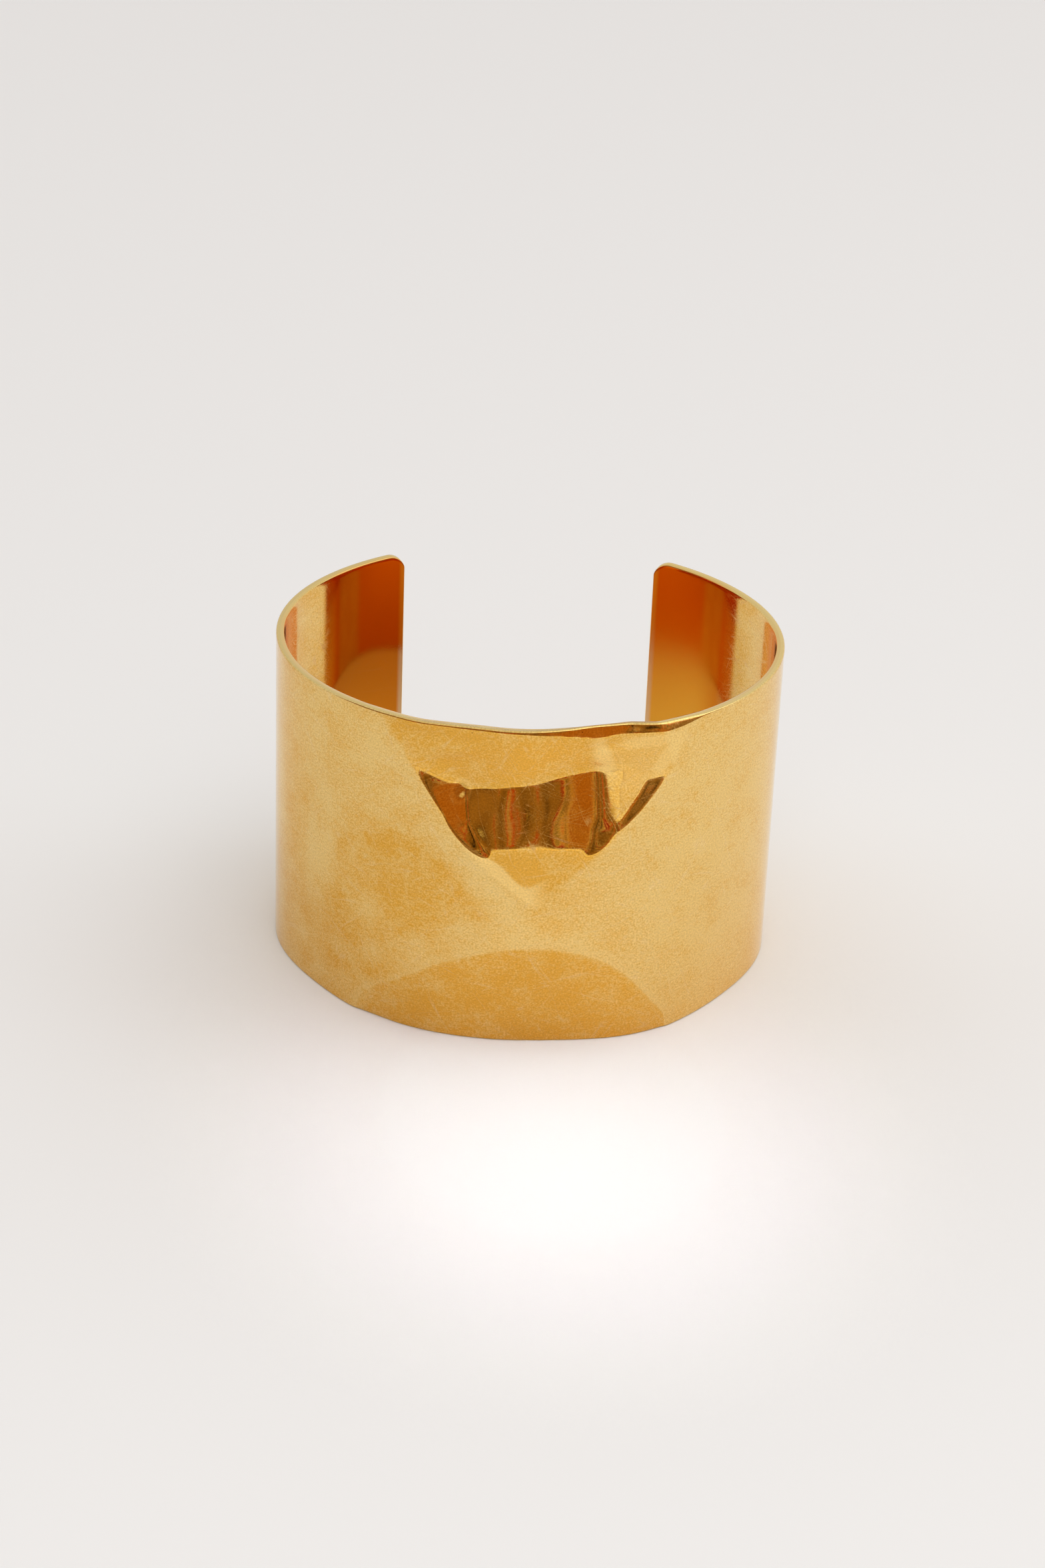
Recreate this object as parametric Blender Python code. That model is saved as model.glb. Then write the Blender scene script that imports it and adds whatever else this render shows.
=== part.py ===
"""An open cuff bracelet: one wide band of gold-plated brass sheet, bent to an oval.

The cuff stands on its lower rim, with its folded front at -Y and its gap at +Y.
Sizes are in millimetres. Places along the front and heights in the tables are shares of them.
"""
from collections import namedtuple
from math import asin, cos, pi, sqrt

import bmesh
import bpy
import numpy as np

MM = 0.001

# The band
OVAL_WIDTH = 62.0
OVAL_DEPTH = 48.56
BAND_HEIGHT = 42.7
SHEET = 1.0
GAP = 32.2
CORNER_RADIUS = 2.3
EDGE_BREAK = 0.18

# The dents
SWELL_REACH = 2.8
FOLD_DEPTH = 2.8
TIP_STEP = 0.32
CREASE_ROUND = 0.08
FOOT_ROUND = 0.3
TUCK_SLOPE = 0.12
TUCK_ROUND = 0.35
TUCK_FADE = 0.05
CURL_SLOPE = 0.62
CURL_ROUND = 0.06
CURL_THINS = 0.5
RIM_LEAST = 0.4

# How finely the sheet is divided
OVAL_STEPS = 1440
FRONT_REACH = 26.0
FRONT_COLUMNS = 48
SIDE_COLUMNS = 10
CORNER_COLUMNS = 4
BAND_ROWS = 30

GOLD = (0.93, 0.62, 0.22, 1.0)
GOLD_ROUGHNESS = 0.12

# The front swells outwards below the fold.
# Places are shares of the oval's width from the middle, and reaches are shares of SWELL_REACH.
SwellRow = namedtuple("SwellRow", "height reaches")
SWELL_PLACES = (-0.65, -0.45, -0.32, -0.19, -0.065, 0.065, 0.19, 0.32, 0.45, 0.65)
SWELL_ROWS = (
    SwellRow(0.00, (0, -0.04, 0.32, 0.78, 0.97, 0.98, 0.95, 0.39, 0, 0)),
    SwellRow(0.16, (0, -0.04, 0.32, 0.78, 0.99, 1.00, 0.95, 0.43, 0, 0)),
    SwellRow(0.33, (0, 0, 0.29, 0.70, 0.98, 1.00, 0.87, 0.39, 0, 0)),
    SwellRow(0.49, (0, -0.04, 0.18, 0.57, 0.86, 0.86, 0.71, 0.32, 0, 0)),
    SwellRow(0.66, (0, -0.04, 0.14, 0.46, 0.71, 0.71, 0.57, 0.21, -0.04, 0)),
    SwellRow(0.82, (0, 0, 0.11, 0.32, 0.50, 0.50, 0.39, 0.14, -0.04, 0)),
    SwellRow(1.00, (0, 0.04, 0.04, 0.18, 0.29, 0.29, 0.21, 0.07, 0.04, 0)),
)

# The fold is a V pressed inwards from the upper rim, between two creases that cross below its tip.
# Each row gives the places of the creases and how steeply the sheet falls in from each of them.
CreaseRow = namedtuple("CreaseRow", "height left right left_bank right_bank")
CREASE_ROWS = (
    CreaseRow(0.400, 0.095, -0.030, 0.28, 0.12),
    CreaseRow(0.468, 0.019, 0.020, 0.30, 0.12),
    CreaseRow(0.543, -0.042, 0.073, 0.30, 0.14),
    CreaseRow(0.623, -0.102, 0.129, 0.40, 0.30),
    CreaseRow(0.660, -0.127, 0.155, 0.70, 0.45),
    CreaseRow(0.703, -0.150, 0.182, 0.85, 0.48),
    CreaseRow(0.749, -0.170, 0.214, 0.85, 0.60),
    CreaseRow(0.796, -0.194, 0.244, 0.80, 0.66),
    CreaseRow(0.831, -0.213, 0.265, 0.68, 0.58),
    CreaseRow(0.867, -0.232, 0.285, 0.52, 0.34),
    CreaseRow(0.913, -0.258, 0.310, 0.25, 0.25),
    CreaseRow(0.960, -0.285, 0.337, 0.20, 0.25),
    CreaseRow(1.000, -0.311, 0.358, 0.18, 0.25),
)

# Between the creases a bowl deepens upwards from its foot, and a band leans out from it to the rim.
# The rim's depth is a share of FOLD_DEPTH.
FloorPoint = namedtuple("FloorPoint", "place foot slope rim lean")
FLOOR_POINTS = (
    FloorPoint(-0.300, 0.630, 0.28, 0.00, 0.20),
    FloorPoint(-0.220, 0.590, 0.28, 0.08, 0.20),
    FloorPoint(-0.160, 0.590, 0.28, 0.28, 0.20),
    FloorPoint(-0.100, 0.606, 0.28, 0.40, 0.20),
    FloorPoint(-0.040, 0.636, 0.28, 0.38, 0.20),
    FloorPoint(0.010, 0.641, 0.28, 0.39, 0.22),
    FloorPoint(0.070, 0.638, 0.28, 0.43, 0.27),
    FloorPoint(0.120, 0.632, 0.28, 0.43, 0.32),
    FloorPoint(0.200, 0.630, 0.28, 0.45, 0.30),
    FloorPoint(0.300, 0.630, 0.28, 0.50, 0.20),
)

# Two flats stand proud in the right of the fold: a small patch by the rim and a lobe with a flank.
# Each has a depth at one place and height, and deepens along the front and upwards from there.
Flat = namedtuple("Flat", "place height depth along up")
PATCH = Flat(0.220, 0.925, 0.39, -0.35, -0.10)
LOBE = Flat(0.165, 0.738, 0.25, -0.02, 0.17)
LOBE_FLANK = Flat(0.163, 0.738, 0.26, -0.88, 0.29)
LOBE_ROUND = 0.2
FLANK_ROUND = 0.45

# A shallow knee bulges out of the fold on its left.
KNEE_PLACE = -0.134
KNEE_HEIGHT = 0.789
KNEE_WIDTH = 0.85
KNEE_REACH = 0.18

# Under an arch at the foot of the front the sheet tucks back in.
ArchPoint = namedtuple("ArchPoint", "place height")
ARCH_POINTS = (
    ArchPoint(-0.387, -0.070),
    ArchPoint(-0.303, 0.094),
    ArchPoint(-0.245, 0.159),
    ArchPoint(-0.176, 0.237),
    ArchPoint(-0.084, 0.309),
    ArchPoint(0.019, 0.340),
    ArchPoint(0.097, 0.321),
    ArchPoint(0.152, 0.281),
    ArchPoint(0.195, 0.222),
    ArchPoint(0.235, 0.145),
    ArchPoint(0.274, 0.066),
    ArchPoint(0.306, -0.012),
    ArchPoint(0.387, -0.141),
)

# Along the fold's upper edge the outer face curls inwards to the rim.
CurlPoint = namedtuple("CurlPoint", "place drop")
CURL_POINTS = (
    CurlPoint(-0.355, 0),
    CurlPoint(-0.290, 0.005),
    CurlPoint(-0.129, 0.008),
    CurlPoint(0.020, 0.014),
    CurlPoint(0.080, 0.025),
    CurlPoint(0.115, 0.036),
    CurlPoint(0.200, 0.026),
    CurlPoint(0.310, 0.015),
    CurlPoint(0.360, 0),
)


def read_table(places, rows, where):
    """Read the rows at other places, on a smooth curve through every row."""
    places = np.array(places, dtype=float)
    rows = np.array(rows, dtype=float)
    where = np.clip(where, places[0], places[-1])
    slopes = np.gradient(rows, places, axis=0)
    low = np.clip(np.searchsorted(places, where, side="right") - 1, 0, len(places) - 2)
    step = places[low + 1] - places[low]
    t = (where - places[low]) / step
    if rows.ndim > 1:
        t = t[..., None]
        step = step[..., None]
    return (
        (2 * t**3 - 3 * t**2 + 1) * rows[low]
        + (t**3 - 2 * t**2 + t) * step * slopes[low]
        + (3 * t**2 - 2 * t**3) * rows[low + 1]
        + (t**3 - t**2) * step * slopes[low + 1]
    )


def above_zero(value, rounding):
    """The value where it is above zero and nothing below it, with the corner rounded."""
    return rounding * np.logaddexp(0.0, value / rounding)


def lesser(one, other, rounding=CREASE_ROUND):
    """The smaller of two depths, with the corner between them rounded."""
    return one - above_zero(one - other, rounding)


def values(table, *names):
    """Some named columns of a table, one row of them for each of its rows."""
    rows = [[getattr(row, name) for name in names] for row in table]
    return np.array(rows, dtype=float)


def swell(places, height):
    """How far the plain sheet bulges out at one height."""
    heights = [row.height for row in SWELL_ROWS]
    reaches = read_table(heights, [row.reaches for row in SWELL_ROWS], np.array(height))
    return SWELL_REACH * read_table(SWELL_PLACES, reaches, places)


def creases(height):
    """Where the two creases are at one height, and how far each leans over as it rises."""
    heights = [row.height for row in CREASE_ROWS]
    lines = values(CREASE_ROWS, "left", "right")
    leans = np.gradient(lines, heights, axis=0) * OVAL_WIDTH / BAND_HEIGHT
    where = np.array(height)
    return read_table(heights, lines, where), read_table(heights, leans, where)


def flat_depth(flat, places, height):
    """The depth of a tilted flat."""
    across = flat.along * (places - flat.place) * OVAL_WIDTH
    upwards = flat.up * (height - flat.height) * BAND_HEIGHT
    return FOLD_DEPTH * flat.depth + across + upwards


def fold_floor(places, height):
    """How deep the sheet between the creases is pressed in at one height."""
    floors = values(FLOOR_POINTS, "foot", "slope", "rim", "lean")
    foot, slope, rim, lean = read_table([point.place for point in FLOOR_POINTS], floors, places).T
    bowl = TIP_STEP + slope * above_zero((height - foot) * BAND_HEIGHT, FOOT_ROUND)
    band = FOLD_DEPTH * rim + lean * (1 - height) * BAND_HEIGHT
    lobe = flat_depth(LOBE, places, height)
    lobe = lobe + above_zero(flat_depth(LOBE_FLANK, places, height) - lobe, LOBE_ROUND)
    depth = lesser(lesser(bowl, band), lobe, FLANK_ROUND)
    return lesser(depth, flat_depth(PATCH, places, height))


def fold(places, height):
    """How deep the V is pressed in at one height."""
    heights = [row.height for row in CREASE_ROWS]
    if height <= heights[0]:
        return np.zeros_like(places)
    (left, right), (left_lean, right_lean) = creases(height)
    banks = values(CREASE_ROWS, "left_bank", "right_bank")
    left_bank, right_bank = read_table(heights, banks, np.array(height))
    from_left = (places - left) * OVAL_WIDTH / sqrt(1 + left_lean**2)
    from_right = (right - places) * OVAL_WIDTH / sqrt(1 + right_lean**2)
    depth = lesser(fold_floor(places, height), left_bank * from_left)
    depth = lesser(depth, right_bank * from_right)
    knee_across = (places - KNEE_PLACE) * OVAL_WIDTH / KNEE_WIDTH
    knee_up = (height - KNEE_HEIGHT) * BAND_HEIGHT / KNEE_WIDTH
    knee = KNEE_REACH * np.exp(-(knee_across**2) - knee_up**2)
    return above_zero(depth, CREASE_ROUND) - knee


def tuck(places, height):
    """How far the foot of the front leans back in, under its arch."""
    arch = read_table([point.place for point in ARCH_POINTS], values(ARCH_POINTS, "height")[:, 0], places)
    below = (arch - height) * BAND_HEIGHT
    return TUCK_SLOPE * above_zero(below, TUCK_ROUND) * np.clip(arch / TUCK_FADE, 0, 1)


def curl(places, height):
    """How far the sheet turns inwards to the rim across the fold."""
    drop = read_table([point.place for point in CURL_POINTS], values(CURL_POINTS, "drop")[:, 0], places)
    above = (height - 1 + drop) * BAND_HEIGHT
    return CURL_SLOPE * above_zero(above, CURL_ROUND) * (drop > 0)


def dents(along, height):
    """The outer face's reach beyond the oval, and the inner face's, at one height in mm."""
    places = along / OVAL_WIDTH
    share = height / BAND_HEIGHT
    curled = curl(places, share)
    reach = swell(places, share) - fold(places, share) - tuck(places, share) - curled
    return reach, reach - np.maximum(SHEET - CURL_THINS * curled, RIM_LEAST * SHEET)


def oval_table():
    """Turns round the oval from its front, and the length of band up to each."""
    turns = np.linspace(-pi, pi, OVAL_STEPS + 1)
    x = np.sin(turns) * OVAL_WIDTH / 2
    y = -np.cos(turns) * OVAL_DEPTH / 2
    lengths = np.concatenate([[0], np.cumsum(np.hypot(np.diff(x), np.diff(y)))])
    return turns, lengths - lengths[-1] / 2


def band_columns():
    """Places of the columns along the band, from one end to the other."""
    turns, lengths = oval_table()
    half_band = np.interp(pi - asin(GAP / OVAL_WIDTH), turns, lengths)
    front = np.linspace(0, FRONT_REACH, FRONT_COLUMNS // 2 + 1)
    side = np.linspace(FRONT_REACH, half_band - CORNER_RADIUS, SIDE_COLUMNS + 1)
    quarter = np.linspace(0, pi / 2, CORNER_COLUMNS + 1)
    before_end = half_band - EDGE_BREAK
    corner = before_end - (CORNER_RADIUS - EDGE_BREAK) * (1 - np.sin(quarter))
    half = np.concatenate([front, side[1:], corner[1:], [half_band]])
    return np.concatenate([-half[:0:-1], half]), half_band


def section(place, half_band):
    """One closed section of the sheet: its points as (reach beyond the oval, height)."""
    to_end = half_band - abs(place)
    cut = max(CORNER_RADIUS - to_end, 0)
    inset = CORNER_RADIUS - sqrt(CORNER_RADIUS**2 - cut**2)
    scale = 1 - 2 * inset / BAND_HEIGHT
    broken = EDGE_BREAK if to_end < EDGE_BREAK / 2 else 0
    heights = np.linspace(EDGE_BREAK, BAND_HEIGHT - EDGE_BREAK, BAND_ROWS)
    along = np.array([place])
    outer, inner = [], []
    for height in heights:
        outer_reach, inner_reach = dents(along, height)
        outer.append((outer_reach[0] - broken, inset + height * scale))
        inner.append((inner_reach[0] + broken, inset + height * scale))
    rims = []
    for height in (BAND_HEIGHT, 0):
        outer_reach, inner_reach = dents(along, height)
        rim_height = inset + height * scale
        middle = (outer_reach[0] + inner_reach[0]) / 2
        half_rim = max((outer_reach[0] - inner_reach[0]) / 2 - EDGE_BREAK, EDGE_BREAK / 2)
        rims.append(((middle + half_rim, rim_height), (middle - half_rim, rim_height)))
    top, bottom = rims
    return outer + [top[0], top[1]] + inner[::-1] + [bottom[1], bottom[0]]


def place_points(along, points):
    """Stand one section's points on the oval, square to it."""
    turns, lengths = oval_table()
    turn = np.interp(along, lengths, turns)
    x = np.sin(turn) * OVAL_WIDTH / 2
    y = -np.cos(turn) * OVAL_DEPTH / 2
    normal = np.array([np.sin(turn) / OVAL_WIDTH, -np.cos(turn) / OVAL_DEPTH])
    normal /= np.hypot(*normal)
    return [(x + normal[0] * reach, y + normal[1] * reach, height) for reach, height in points]


def make_gold():
    """Polished gold plate."""
    gold = bpy.data.materials.new("gold_plate")
    gold.use_nodes = True
    surface = gold.node_tree.nodes["Principled BSDF"]
    surface.inputs["Base Color"].default_value = GOLD
    surface.inputs["Metallic"].default_value = 1.0
    surface.inputs["Roughness"].default_value = GOLD_ROUGHNESS
    return gold


def make_cuff():
    """Loft the sheet through its sections and close it at the two ends."""
    columns, half_band = band_columns()
    rings = [place_points(place, section(place, half_band)) for place in columns]
    points = np.array(rings)
    middle = (points.min(axis=(0, 1)) + points.max(axis=(0, 1))) / 2
    shift = np.array([middle[0], middle[1], 0])
    mesh = bmesh.new()
    loops = [[mesh.verts.new((point - shift) * MM) for point in ring] for ring in points]
    count = len(loops[0])
    for first, second in zip(loops, loops[1:]):
        for low in range(count):
            high = (low + 1) % count
            mesh.faces.new((first[low], second[low], second[high], first[high]))
    for end, turned in ((loops[0], False), (loops[-1], True)):
        for low in range(-1, BAND_ROWS):
            high = low + 1
            face = (end[low], end[high], end[-3 - high], end[-3 - low])
            mesh.faces.new(face[::-1] if turned else face)
    bmesh.ops.recalc_face_normals(mesh, faces=mesh.faces)
    data = bpy.data.meshes.new("cuff")
    mesh.to_mesh(data)
    mesh.free()
    data.shade_smooth()
    data.set_sharp_from_angle(angle=0.6)
    data.materials.append(make_gold())
    cuff = bpy.data.objects.new("cuff", data)
    bpy.context.scene.collection.objects.link(cuff)
    return cuff


for leftover in list(bpy.data.objects):
    bpy.data.objects.remove(leftover)
make_cuff()
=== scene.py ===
"""The gold cuff of the photo, standing on a pale floor in soft studio light."""

from collections import namedtuple
from math import asin, cos, pi, radians, sin, sqrt

import bpy
import numpy as np
from mathutils import Matrix, Vector


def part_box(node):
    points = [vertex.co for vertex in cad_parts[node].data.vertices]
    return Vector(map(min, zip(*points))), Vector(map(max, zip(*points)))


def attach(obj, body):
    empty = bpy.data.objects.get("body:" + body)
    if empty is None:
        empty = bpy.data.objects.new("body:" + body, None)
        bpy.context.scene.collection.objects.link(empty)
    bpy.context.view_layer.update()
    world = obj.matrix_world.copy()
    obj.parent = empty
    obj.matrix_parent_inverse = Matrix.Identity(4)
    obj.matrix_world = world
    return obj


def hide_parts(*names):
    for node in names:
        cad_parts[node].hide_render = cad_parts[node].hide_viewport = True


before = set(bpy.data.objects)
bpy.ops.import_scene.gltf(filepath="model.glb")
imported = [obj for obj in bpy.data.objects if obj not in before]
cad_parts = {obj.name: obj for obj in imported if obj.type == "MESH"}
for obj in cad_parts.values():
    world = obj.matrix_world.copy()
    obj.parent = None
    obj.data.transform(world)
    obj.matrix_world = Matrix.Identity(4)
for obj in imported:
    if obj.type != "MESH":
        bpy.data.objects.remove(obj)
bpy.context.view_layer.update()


# The cuff is one strip of brass sheet, pressed to its relief and gold plated. The front swells,
# with a V-shaped fold in its upper half, an arch at its foot and a rim that curls in. Sizes are in
# millimetres, and places along the front and up the band are shares of its width and height.
OVAL_WIDTH = 62.0
OVAL_DEPTH = 48.56
BAND_HEIGHT = 42.7
SHEET = 1.0
GAP = 32.2
CORNER_RADIUS = 2.3
ARRIS = 0.2

SWELL_REACH = 2.8
SwellRow = namedtuple("SwellRow", "height reaches")
SWELL_PLACES = (-0.65, -0.45, -0.32, -0.19, -0.065, 0.065, 0.19, 0.32, 0.45, 0.65)
SWELL_ROWS = (
    SwellRow(0.00, (0, -0.04, 0.32, 0.78, 0.97, 0.98, 0.95, 0.39, 0, 0)),
    SwellRow(0.16, (0, -0.04, 0.32, 0.78, 0.99, 1.00, 0.95, 0.43, 0, 0)),
    SwellRow(0.33, (0, 0, 0.29, 0.70, 0.98, 1.00, 0.87, 0.39, 0, 0)),
    SwellRow(0.49, (0, -0.04, 0.18, 0.57, 0.86, 0.86, 0.71, 0.32, 0, 0)),
    SwellRow(0.66, (0, -0.04, 0.14, 0.46, 0.71, 0.71, 0.57, 0.21, -0.04, 0)),
    SwellRow(0.82, (0, 0, 0.11, 0.32, 0.50, 0.50, 0.39, 0.14, -0.04, 0)),
    SwellRow(1.00, (0, 0.04, 0.04, 0.18, 0.29, 0.29, 0.21, 0.07, 0.04, 0)),
)

FOLD_DEPTH = 2.8
TIP_STEP = 0.32
CREASE_ROUND = 0.08
FOOT_ROUND = 0.3
CreaseRow = namedtuple("CreaseRow", "height left right left_bank right_bank")
CREASE_ROWS = (
    CreaseRow(0.400, 0.095, -0.030, 0.28, 0.12),
    CreaseRow(0.468, 0.019, 0.020, 0.30, 0.12),
    CreaseRow(0.543, -0.042, 0.073, 0.30, 0.14),
    CreaseRow(0.623, -0.102, 0.129, 0.30, 0.26),
    CreaseRow(0.660, -0.127, 0.155, 0.62, 0.42),
    CreaseRow(0.703, -0.150, 0.182, 0.85, 0.48),
    CreaseRow(0.749, -0.170, 0.214, 0.85, 0.60),
    CreaseRow(0.796, -0.194, 0.244, 0.80, 0.66),
    CreaseRow(0.831, -0.213, 0.265, 0.68, 0.62),
    CreaseRow(0.867, -0.232, 0.285, 0.52, 0.40),
    CreaseRow(0.913, -0.258, 0.310, 0.25, 0.25),
    CreaseRow(0.960, -0.285, 0.337, 0.20, 0.25),
    CreaseRow(1.000, -0.311, 0.358, 0.18, 0.25),
)
FloorPoint = namedtuple("FloorPoint", "place foot slope rim lean")
FLOOR_POINTS = (
    FloorPoint(-0.300, 0.630, 0.28, 0.00, 0.20),
    FloorPoint(-0.220, 0.590, 0.28, 0.08, 0.20),
    FloorPoint(-0.160, 0.590, 0.28, 0.28, 0.20),
    FloorPoint(-0.100, 0.606, 0.28, 0.40, 0.20),
    FloorPoint(-0.040, 0.636, 0.28, 0.38, 0.20),
    FloorPoint(0.010, 0.641, 0.28, 0.39, 0.22),
    FloorPoint(0.070, 0.638, 0.28, 0.43, 0.27),
    FloorPoint(0.120, 0.632, 0.28, 0.43, 0.32),
    FloorPoint(0.200, 0.630, 0.28, 0.45, 0.30),
    FloorPoint(0.300, 0.630, 0.28, 0.50, 0.20),
)
Flat = namedtuple("Flat", "place height depth along up")
PATCH = Flat(0.220, 0.925, 0.39, -0.35, -0.10)
LOBE = Flat(0.165, 0.738, 0.22, -0.05, 0.17)
LOBE_FLANK = Flat(0.163, 0.738, 0.23, -0.88, 0.29)
LOBE_ROUND = 0.2
FLANK_ROUND = 0.45
KNEE_PLACE = -0.134
KNEE_HEIGHT = 0.789
KNEE_WIDTH = 0.85
KNEE_REACH = 0.10

TUCK_SLOPE = 0.12
TUCK_ROUND = 0.35
TUCK_FADE = 0.05
ArchPoint = namedtuple("ArchPoint", "place height")
ARCH_POINTS = (
    ArchPoint(-0.387, -0.070),
    ArchPoint(-0.303, 0.094),
    ArchPoint(-0.245, 0.159),
    ArchPoint(-0.176, 0.237),
    ArchPoint(-0.084, 0.309),
    ArchPoint(0.019, 0.340),
    ArchPoint(0.097, 0.321),
    ArchPoint(0.152, 0.281),
    ArchPoint(0.195, 0.222),
    ArchPoint(0.235, 0.145),
    ArchPoint(0.274, 0.066),
    ArchPoint(0.306, -0.012),
    ArchPoint(0.387, -0.141),
)

CURL_SLOPE = 0.62
CURL_ROUND = 0.06
CURL_THINS = 0.5
CurlPoint = namedtuple("CurlPoint", "place drop")
CURL_POINTS = (
    CurlPoint(-0.355, 0),
    CurlPoint(-0.290, 0.005),
    CurlPoint(-0.129, 0.008),
    CurlPoint(0.020, 0.014),
    CurlPoint(0.080, 0.025),
    CurlPoint(0.115, 0.036),
    CurlPoint(0.200, 0.026),
    CurlPoint(0.310, 0.015),
    CurlPoint(0.360, 0),
)


def read_table(places, rows, where):
    """Read the rows at other places, on a smooth curve through every row."""
    places = np.array(places, dtype=float)
    rows = np.array(rows, dtype=float)
    where = np.clip(where, places[0], places[-1])
    slopes = np.gradient(rows, places, axis=0)
    low = np.clip(np.searchsorted(places, where, side="right") - 1, 0, len(places) - 2)
    step = places[low + 1] - places[low]
    t = (where - places[low]) / step
    if rows.ndim > 1:
        t = t[..., None]
        step = step[..., None]
    return (
        (2 * t**3 - 3 * t**2 + 1) * rows[low]
        + (t**3 - 2 * t**2 + t) * step * slopes[low]
        + (3 * t**2 - 2 * t**3) * rows[low + 1]
        + (t**3 - t**2) * step * slopes[low + 1]
    )


def above_zero(value, rounding):
    """The value where it is above zero and nothing below it, with the corner rounded."""
    return rounding * np.logaddexp(0.0, value / rounding)


def lesser(one, other, rounding=CREASE_ROUND):
    """The smaller of two depths, with the corner between them rounded."""
    return one - above_zero(one - other, rounding)


def flat_depth(flat, places, height):
    """The depth of a tilted flat."""
    across = flat.along * (places - flat.place) * OVAL_WIDTH
    upwards = flat.up * (height - flat.height) * BAND_HEIGHT
    return FOLD_DEPTH * flat.depth + across + upwards


def values(table, *names):
    """Some named columns of a table."""
    return np.array([[getattr(row, name) for name in names] for row in table], dtype=float)


def swell(places, height):
    """How far the front swells out beyond the oval."""
    heights = [row.height for row in SWELL_ROWS]
    reaches = read_table(heights, [row.reaches for row in SWELL_ROWS], np.array(height))
    return SWELL_REACH * read_table(SWELL_PLACES, reaches, places)


def fold(places, height):
    """How deep the V-shaped fold is: a bowl, a band, a lobe and a flat between two banks."""
    heights = [row.height for row in CREASE_ROWS]
    if height <= heights[0]:
        return np.zeros_like(places)
    where = np.array(height)
    lines = values(CREASE_ROWS, "left", "right")
    leans = np.gradient(lines, heights, axis=0) * OVAL_WIDTH / BAND_HEIGHT
    left, right = read_table(heights, lines, where)
    left_lean, right_lean = read_table(heights, leans, where)
    banks = values(CREASE_ROWS, "left_bank", "right_bank")
    left_bank, right_bank = read_table(heights, banks, where)
    from_left = (places - left) * OVAL_WIDTH / sqrt(1 + left_lean**2)
    from_right = (right - places) * OVAL_WIDTH / sqrt(1 + right_lean**2)
    floors = values(FLOOR_POINTS, "foot", "slope", "rim", "lean")
    foot, slope, rim, lean = read_table([point.place for point in FLOOR_POINTS], floors, places).T
    bowl = TIP_STEP + slope * above_zero((height - foot) * BAND_HEIGHT, FOOT_ROUND)
    band = FOLD_DEPTH * rim + lean * (1 - height) * BAND_HEIGHT
    depth = lesser(bowl, band)
    lobe = flat_depth(LOBE, places, height)
    lobe = lobe + above_zero(flat_depth(LOBE_FLANK, places, height) - lobe, LOBE_ROUND)
    depth = lesser(depth, lobe, FLANK_ROUND)
    depth = lesser(depth, flat_depth(PATCH, places, height))
    depth = lesser(depth, left_bank * from_left)
    depth = lesser(depth, right_bank * from_right)
    knee_across = (places - KNEE_PLACE) * OVAL_WIDTH / KNEE_WIDTH
    knee_up = (height - KNEE_HEIGHT) * BAND_HEIGHT / KNEE_WIDTH
    knee = KNEE_REACH * np.exp(-(knee_across**2) - knee_up**2)
    return above_zero(depth, CREASE_ROUND) - knee


def below_arch(places, height):
    """How far below the arch a place is, and how much of the arch there is over it."""
    heights = values(ARCH_POINTS, "height")[:, 0]
    arch = read_table([point.place for point in ARCH_POINTS], heights, places)
    return (arch - height) * BAND_HEIGHT, np.clip(arch / TUCK_FADE, 0, 1)


def tuck(places, height):
    """How far the sheet is tucked in below the arch."""
    below, fade = below_arch(places, height)
    return TUCK_SLOPE * above_zero(below, TUCK_ROUND) * fade


def curl(places, height):
    """How far the upper rim curls in."""
    drops = values(CURL_POINTS, "drop")[:, 0]
    drop = read_table([point.place for point in CURL_POINTS], drops, places)
    above = (height - 1 + drop) * BAND_HEIGHT
    return CURL_SLOPE * above_zero(above, CURL_ROUND) * (drop > 0)


def dents(along, height):
    """The outer face's reach beyond the oval and the sheet's thickness, along one height."""
    places = along / OVAL_WIDTH
    share = height / BAND_HEIGHT
    curled = curl(places, share)
    reach = swell(places, share) - fold(places, share) - tuck(places, share) - curled
    return reach, SHEET - CURL_THINS * curled


# The blank is the cut strip before it is bent: a closed sheet along X, with its reach outwards in
# Y and its height in Z. Its long edges and its ends are rounded, as filed and polished metal is.
# Its columns are close together on the relief, and its inner face is mapped above the outer one.
MM = 0.001
MM_A_CM = 10
INNER_SHIFT = 2 * BAND_HEIGHT
OVAL_STEPS = 1440
FRONT_REACH = 26.0
FRONT_STEP = 0.28
SIDE_STEP = 0.9
OUTER_ROWS = 160
INNER_SHARE = 2
ARRIS_STEPS = 4
ARCH_LIMIT = 3.0
FOLD_BLEND = 0.3
END_STEPS = (2.2, 1.9, 1.6, 1.3, 1.0, 0.75, 0.5, 0.32, 0.2, 0.13, 0.07, 0.03, 0.0)

turns = np.linspace(-pi, pi, OVAL_STEPS + 1)
oval_x = np.sin(turns) * OVAL_WIDTH / 2
oval_y = -np.cos(turns) * OVAL_DEPTH / 2
lengths = np.concatenate([[0], np.cumsum(np.hypot(np.diff(oval_x), np.diff(oval_y)))])
half_band = np.interp(pi - asin(GAP / OVAL_WIDTH), turns, lengths - lengths[-1] / 2)

front = np.arange(0, FRONT_REACH, FRONT_STEP)
side = np.arange(FRONT_REACH, half_band - END_STEPS[0] - SIDE_STEP / 2, SIDE_STEP)
half = np.concatenate([front, side, half_band - np.array(END_STEPS)])
columns = np.concatenate([-half[:0:-1], half])
arc = np.linspace(0, pi / 2, ARRIS_STEPS + 1)[1:]

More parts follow.
